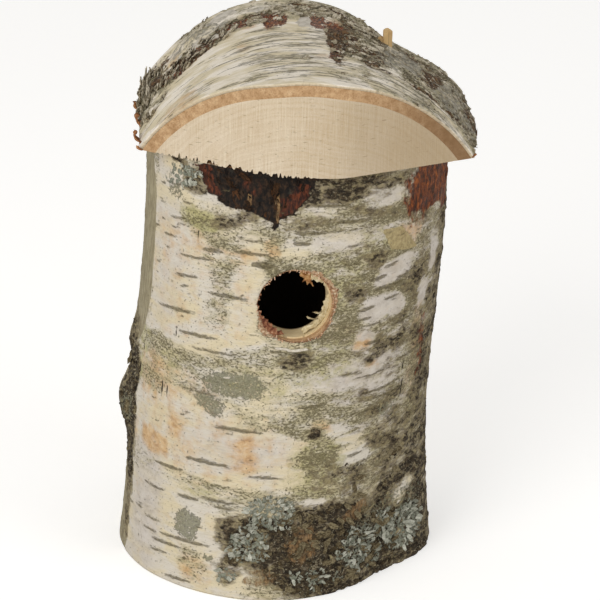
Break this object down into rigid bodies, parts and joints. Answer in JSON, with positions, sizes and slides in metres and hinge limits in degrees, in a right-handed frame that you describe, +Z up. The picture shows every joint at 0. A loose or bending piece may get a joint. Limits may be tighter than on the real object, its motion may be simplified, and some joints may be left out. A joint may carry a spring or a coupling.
{
  "type": "bird nest box",
  "caption": "Log nest box: a hollowed birch log with a round entrance, a screwed floor, a keyhole hanger and a half-log roof that swings aside on a wooden peg.",
  "frame": {"origin": "on the sawn foot of the log, on the floor disc, 9 mm behind the axis of the nest chamber", "axes": "+Z up along the log, -Y out of the entrance at the front, +X to the right as seen from the front"},
  "size_m": [0.178, 0.1408, 0.2734],
  "materials": {
    "birch_wood": "bandsawn, unfinished",
    "inner_bark": "matt, granular",
    "birch_bark": "papery white bark with lichen",
    "peg_wood": "split and pared, unfinished",
    "zinc_steel": "zinc-plated"
  },
  "bodies": {
    "log": {"log_wall": "birch_wood", "log_inner_bark": "inner_bark", "log_bark": "birch_bark", "floor_disc": "birch_wood", "floor_screws": "zinc_steel", "hanger_plate": "zinc_steel", "hanger_screws": "zinc_steel"},
    "roof": {"roof_slab": "birch_wood", "roof_inner_bark": "inner_bark", "roof_bark": "birch_bark", "roof_peg": "peg_wood", "peg_wedge": "peg_wood"}
  },
  "joints": [
    {"name": "roof_swing", "type": "hinge", "parent": "log", "child": "roof", "pos_m": [0.04516, 0.04096, 0.2255], "axis": [0, 0, 1], "range_deg": [0, 135]}
  ]
}
